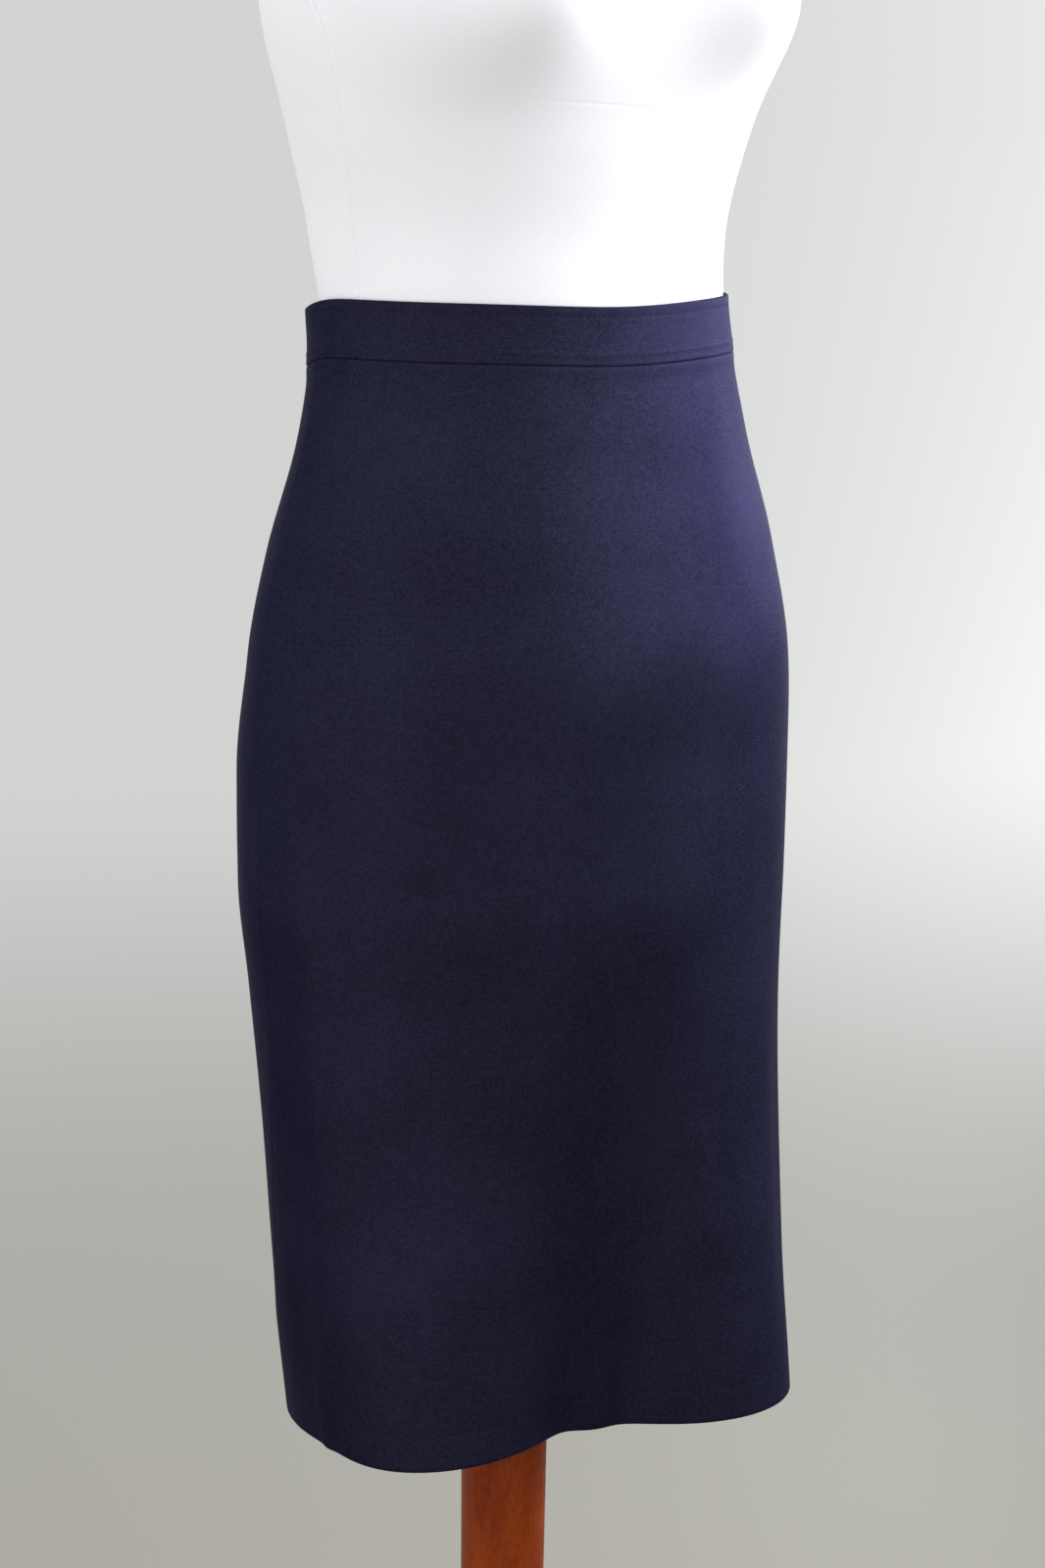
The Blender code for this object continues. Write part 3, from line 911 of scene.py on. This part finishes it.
FLOOR_HALF_SIZE = 60.0
FLOOR_CORNERS = ((-1, -1), (1, -1), (1, 1), (-1, 1))
FLOOR_COLOUR = (0.217, 0.207, 0.187)
# The floor's dark colour on the window's side is painted shade.
FLOOR_SHADE_AT_WINDOW = (0.045, 0.045, 0.045)
# The pale strip runs away from the camera and ends this far to the window's side of the object, in metres.
FLOOR_STRIP_EDGE = (0.2, 1.4)
FLOOR_FADE = (0.5, 5.0)


def make_floor():
    """A wide floor, painted dark as shade towards the window. Far off it turns into the pale room, and no
    horizon shows.
    """
    finish = Finish("pale_floor")
    place = finish.add("ShaderNodeNewGeometry").outputs["Position"]
    away = finish.add("ShaderNodeVectorMath", {0: place}, operation="LENGTH").outputs["Value"]
    direction = finish.add("ShaderNodeVectorMath", {0: place}, operation="NORMALIZE").outputs[0]
    glow = finish.add("ShaderNodeEmission", {0: (*ROOM_COLOUR, 1.0), 1: room_strength(finish, direction)})
    across = dot(finish, place, level_direction(CAMERA_AZIMUTH + 90.0))
    # painted shade on the window's side of the floor
    window_side_shade = finish.soft_step(across, FLOOR_STRIP_EDGE)
    far = finish.soft_step(finish.sum("SUBTRACT", away, window_side_shade), FLOOR_FADE)
    finish.set(
        Base_Color=mixed(finish, window_side_shade, shade(FLOOR_COLOUR, 1.0), shade(FLOOR_SHADE_AT_WINDOW, 1.0)),
        Roughness=0.9,
        Specular_IOR_Level=0.1,
    )
    blend = finish.add("ShaderNodeMixShader", {0: far, 1: finish.shader.outputs[0], 2: glow.outputs[0]})
    finish.put(finish.tree.nodes["Material Output"].inputs["Surface"], blend.outputs[0])
    corners = [(x * FLOOR_HALF_SIZE, y * FLOOR_HALF_SIZE, 0.0) for x, y in FLOOR_CORNERS]
    mesh = bpy.data.meshes.new("floor")
    mesh.from_pydata(corners, [], [(0, 1, 2, 3)])
    mesh.materials.append(finish.material)
    floor = bpy.data.objects.new("floor", mesh)
    bpy.context.scene.collection.objects.link(floor)


# ---------------------------------------------------------------------------------------------------------
# Pieces
# ---------------------------------------------------------------------------------------------------------

PANEL_STEP = 0.0031
BAND_STEP = 0.0025
# The band's ends meet at this column of the solid back panel, out of this many.
BAND_JOIN_COLUMN = 15.0
BACK_COLUMNS = 31.0
# A run's length doesn't depend on how many columns it is asked for.
ANY_COLUMNS = 10
WIDEST_STEP = 0.02
MEAN_WIDTH_STEP = 0.01


def half_gap_degrees(height):
    return math.degrees(0.5 * SEWN_GAP / section_at(height).half_width)


def front_ends(height):
    left, right = seam_angles(height)
    return left + half_gap_degrees(height), right - half_gap_degrees(height)


def back_ends(height):
    left, right = seam_angles(height)
    return right + half_gap_degrees(height), left + 360.0 - half_gap_degrees(height)


def band_ends(height):
    """The strip starts and ends at the join at the centre back."""
    start, end = back_ends(WAIST_HEIGHT)
    join = start + (end - start) * BAND_JOIN_COLUMN / BACK_COLUMNS
    return join + half_gap_degrees(WAIST_HEIGHT), join + 360.0 - half_gap_degrees(WAIST_HEIGHT)


def run_length(ends, height):
    """Length round the form between two ends."""
    return columns_of(*ends(height), height, ANY_COLUMNS)[2]


def cloth_panel(name, node, ends, material):
    """One of the two panels of the skirt, as it lies on the form."""
    widest = max(run_length(ends, height) for height in stepped(HEM_HEIGHT, SKIRT_TOP_HEIGHT, WIDEST_STEP))
    outer, inner, cloth_map = panel_grids(skirt_rows(), ends, round(widest / PANEL_STEP))
    piece = welded(shell(name, outer, inner, cloth_map, material))
    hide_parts(node)
    heights = stepped(HEM_HEIGHT, SKIRT_TOP_HEIGHT, MEAN_WIDTH_STEP)
    widths = [run_length(ends, height) for height in heights]
    return piece


def waistband(material):
    """The band, and the length of its strip."""
    length = run_length(band_ends, WAIST_HEIGHT)
    outer, inner, cloth_map = panel_grids(band_rows(), band_ends, round(length / BAND_STEP))
    piece = welded(shell("waistband_cloth", outer, inner, cloth_map, material))
    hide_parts("waistband")
    return piece, length


# Stitches: their length, the gap between two, and the thread.
STITCH_LENGTH = 0.0026
STITCH_GAP = 0.0006
THREAD_RADIUS = 0.00014
THREAD_SIDES = 6
STITCH_DENSE_STEPS = 4 * DENSE_STEPS
# Rings of a stitch's thread: share of the way along it, thread radii out of the groove, share of the radius.
StitchRing = namedtuple("StitchRing", "along out radius")
STITCH_RINGS = (
    StitchRing(0.00, -1.6, 0.5),
    StitchRing(0.15, -0.3, 1.0),
    StitchRing(0.50, 0.0, 1.0),
    StitchRing(0.85, -0.3, 1.0),
    StitchRing(1.00, -1.6, 0.5),
)


def band_stitches(material):
    """The line of stitches under the waistband's top edge."""
    height = WAIST_HEIGHT - BAND_STITCH_BELOW_TOP
    start, end = band_ends(height)
    length = run_length(band_ends, height)
    dense, run = dense_run(start, end, height, STITCH_DENSE_STEPS)
    count = int((length - 2 * STITCH_GAP) / (STITCH_LENGTH + STITCH_GAP))
    pitch = (length - STITCH_GAP) / count
    points, faces = [], []
    turns = np.radians(np.arange(THREAD_SIDES) * 360.0 / THREAD_SIDES)
    for stitch in range(count):
        begin = STITCH_GAP + stitch * pitch
        first = len(points)
        for one in STITCH_RINGS:
            angle = np.interp(begin + one.along * (pitch - STITCH_GAP), run, dense)
            base = SEAT_GAP + ease(angle, height) + float(relief(np.array([angle]), height)[0])
            base += BAND_THICKNESS - BAND_GROOVE + one.out * THREAD_RADIUS
            for turn in turns:
                reach = THREAD_RADIUS * one.radius
                point = body_points(np.array([angle]), height, base + reach * math.cos(turn))[0]
                point[2] += reach * math.sin(turn)
                points.append(point)
        for r in range(len(STITCH_RINGS) - 1):
            for s in range(THREAD_SIDES):
                a = first + r * THREAD_SIDES + s
                b = first + r * THREAD_SIDES + (s + 1) % THREAD_SIDES
                faces.append([a, b, b + THREAD_SIDES, a + THREAD_SIDES])
        faces.append([first + s for s in range(THREAD_SIDES)][::-1])
        last = first + (len(STITCH_RINGS) - 1) * THREAD_SIDES
        faces.append([last + s for s in range(THREAD_SIDES)])
    return new_piece("waistband_stitches", np.array(points), faces, material)


# Seam of the form's cover down each side, in degrees in front of the side.
CoverSeam = namedtuple("CoverSeam", "height ahead")
COVER_SEAMS = (
    CoverSeam(0.755, 2.0),
    CoverSeam(1.052, 4.5),
    CoverSeam(1.092, 6.0),
    CoverSeam(1.148, 7.5),
    CoverSeam(1.190, 6.5),
    CoverSeam(1.215, 3.0),
    CoverSeam(1.260, 1.0),
    CoverSeam(1.490, 0.0),
)
COVER_SEAM_RIDGE = 0.00045
COVER_SEAM_PLACE = 0.0020
COVER_SEAM_HALF_WIDTH = 0.0022
COVER_SEAM_ROLL = 0.0004
COVER_SEAM_ROLL_HALF_WIDTH = 0.0006
COVER_EDGE_COLUMNS = (0.0, 0.0004, 0.0010, 0.0020, 0.0032, 0.0048, 0.0068)
COVER_STEPS = 104
# Faint line under the bust.
UNDERBUST_HEIGHT = 1.1555
UNDERBUST_FALL_PER_DEGREE = 0.00008
UNDERBUST_ANGLES = (66.0, 128.0)
UNDERBUST_FADE = 8.0
UNDERBUST_GROOVE = 0.00014
UNDERBUST_HALF_WIDTH = 0.0008
# Rounded edge of the form's foot: how far above the foot each ring is, and how far it is drawn in.
EdgeRing = namedtuple("EdgeRing", "rise drawn_in")
FORM_FOOT_EDGE = (
    EdgeRing(0.0000, 0.0140),
    EdgeRing(0.0006, 0.0105),
    EdgeRing(0.0022, 0.0070),
    EdgeRing(0.0040, 0.0050),
    EdgeRing(0.0070, 0.0026),
    EdgeRing(0.0110, 0.0010),
    EdgeRing(0.0150, 0.0000),
)
# Rings up the form above that edge, in runs about a step apart. They are closest at the line under the bust.
RingRun = namedtuple("RingRun", "low high step")
COVER_RINGS = (
    RingRun(FORM_FOOT_HEIGHT + 0.025, BAND_SEAM_HEIGHT, 0.012),
    RingRun(BAND_SEAM_HEIGHT + 0.01, 1.146, 0.0045),
    RingRun(1.147, 1.158, 0.0005),
    RingRun(1.160, CHEST_TOP_HEIGHT, 0.0035),
    RingRun(CHEST_TOP_HEIGHT + 0.002, SECTIONS[-1].height, 0.002),
)
# Rings on the neck's flat top, each drawn in by this much.
NECK_EDGE = (0.0008, 0.002, 0.006)


def cover_run(start, end, height):
    """Angles of half of the cover's ring, from one seam to the next but without it, with seam distances."""
    dense, run = dense_run(start, end, height)
    edge = np.array(COVER_EDGE_COLUMNS)
    between = np.linspace(edge[-1], run[-1] - edge[-1], COVER_STEPS + 1)[1:-1]
    distance = np.concatenate([edge, between, run[-1] - edge[:0:-1]])
    return np.interp(distance, run, dense), np.minimum(distance, run[-1] - distance)


def form_cover(material):
    """The form: round at its foot, plain under the skirt, fine above the waist, closed flat at the neck."""
    heights = [(FORM_FOOT_HEIGHT + edge.rise, -edge.drawn_in) for edge in FORM_FOOT_EDGE]
    for part in COVER_RINGS:
        heights += [(height, 0.0) for height in stepped(*part)]
    heights += [(SECTIONS[-1].height, -drawn_in) for drawn_in in NECK_EDGE]
    rings = []
    for height, distance in heights:
        ahead = row_at(COVER_SEAMS, height).ahead
        front = cover_run(ahead, 180.0 - ahead, height)
        back = cover_run(180.0 - ahead, 360.0 + ahead, height)
        angle = np.concatenate([front[0], back[0]])
        from_seam = np.concatenate([front[1], back[1]])
        lift = COVER_SEAM_RIDGE * bell(from_seam - COVER_SEAM_PLACE, COVER_SEAM_HALF_WIDTH)
        lift -= COVER_SEAM_ROLL * bell(from_seam, COVER_SEAM_ROLL_HALF_WIDTH)
        line = UNDERBUST_HEIGHT - UNDERBUST_FALL_PER_DEGREE * (UNDERBUST_ANGLES[1] - angle)
        inside = smoothstep((angle - UNDERBUST_ANGLES[0]) / UNDERBUST_FADE)
        inside = inside * smoothstep((UNDERBUST_ANGLES[1] - angle) / UNDERBUST_FADE)
        lift -= UNDERBUST_GROOVE * inside * bell(height - line, UNDERBUST_HALF_WIDTH)
        if height < BAND_SEAM_HEIGHT:
            lift = np.zeros(len(angle))
        rings.append(body_points(angle, height, distance + lift))
    piece = closed_rings("form_cover", rings, material)
    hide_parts("form_torso")
    return piece


def main():
    make_camera()
    make_world()
    make_window()
    make_floor()

    skirt_knit = knit("navy_double_knit", WALE_WIDTH, COURSE_HEIGHT)
    band_knit = knit("navy_band_knit", WALE_WIDTH * BAND_WALE_SHARE, COURSE_HEIGHT * BAND_COURSE_SHARE)
    form_cover(jersey_cover())
    band, band_length = waistband(band_knit)
    stitches = band_stitches(skirt_knit)
    cloth_panel("skirt_front_cloth", "skirt_front", front_ends, skirt_knit)
    cloth_panel("skirt_back_cloth", "skirt_back", back_ends, skirt_knit)

    pole_wood = stained_wood("cherry_stained_pole", 2)
    base_wood = stained_wood("cherry_stained_base", 0)
    for node, wood in (("form_pole", pole_wood), ("form_base", base_wood)):
        for number in range(len(nodes[node].material_slots)):
            nodes[node].material_slots[number].material = wood

    bpy.context.scene.view_settings.view_transform = "Standard"


main()
